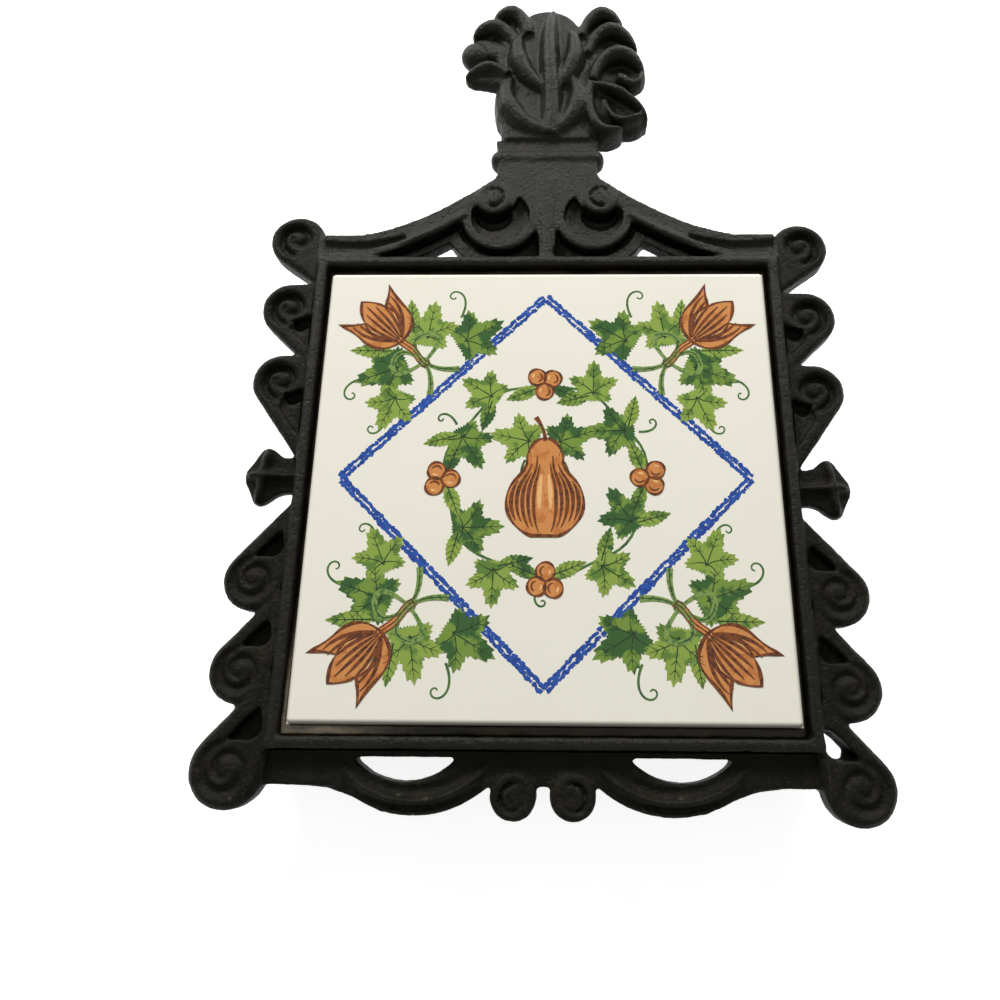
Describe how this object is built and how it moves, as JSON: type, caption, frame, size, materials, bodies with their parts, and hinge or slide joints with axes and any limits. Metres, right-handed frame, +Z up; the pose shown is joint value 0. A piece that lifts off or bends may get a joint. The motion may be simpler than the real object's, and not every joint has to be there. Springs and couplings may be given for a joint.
{
  "type": "trivet",
  "caption": "Square glazed tile bedded in a cast iron frame with curled side scrollwork, a pierced pediment, a waisted neck and a leaf crest, on short feet.",
  "frame": {"origin": "centre of the bounding box's bottom face, at the level of the feet's soles", "axes": "+Z up, out of the tile's glazed face; +Y along the length, towards the crest; +X to the right as seen with the crest at the top"},
  "size_m": [0.1456, 0.2129, 0.023],
  "materials": {
    "iron": "sand-cast black iron, satin, fine grain",
    "glaze": "glazed ceramic, opaque, glossy, off-white with a printed design",
    "adhesive": "aged clear adhesive, brown olive"
  },
  "bodies": {
    "root": {"tray": "iron", "feet": "iron", "tile": "glaze", "adhesive_bed": "adhesive", "adhesive_bead": "adhesive", "left_scrollwork": "iron", "right_scrollwork": "iron", "pediment": "iron", "neck": "iron", "crest": "iron", "apron": "iron"}
  },
  "joints": []
}
